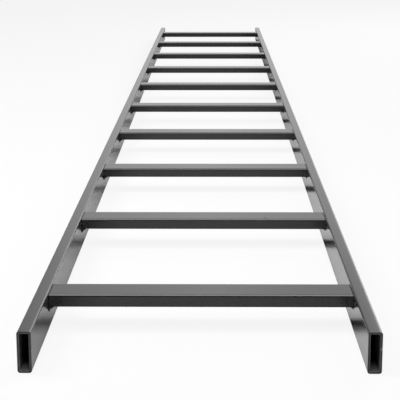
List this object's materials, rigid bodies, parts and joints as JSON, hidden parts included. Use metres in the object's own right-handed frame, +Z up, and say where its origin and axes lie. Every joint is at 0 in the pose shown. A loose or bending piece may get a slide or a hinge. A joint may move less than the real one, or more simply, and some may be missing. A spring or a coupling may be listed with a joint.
{
  "type": "cable ladder section",
  "caption": "Straight welded cable ladder section: two open rectangular-tube side rails on edge, joined by flat tube rungs just under their tops.",
  "frame": {"origin": "on the level the rails rest on, midway between the rails and midway along them", "axes": "+X across the ladder, +Y along the rails, +Z up, from the rails' undersides to their tops"},
  "size_m": [0.3174, 3.016, 0.0381],
  "materials": {
    "rail_coat": "black powder coat, semi-gloss, with a fine even texture",
    "rung_coat": "black powder coat, semi-gloss, with a fine even texture",
    "weld_coat": "black powder coat over the ripples of a fillet weld"
  },
  "bodies": {
    "root": {"left_rail": "rail_coat", "right_rail": "rail_coat", "rung_01": "rung_coat", "rung_02": "rung_coat", "rung_03": "rung_coat", "rung_04": "rung_coat", "rung_05": "rung_coat", "rung_06": "rung_coat", "rung_07": "rung_coat", "rung_08": "rung_coat", "rung_09": "rung_coat", "rung_10": "rung_coat", "weld_beads": "weld_coat"}
  },
  "joints": []
}
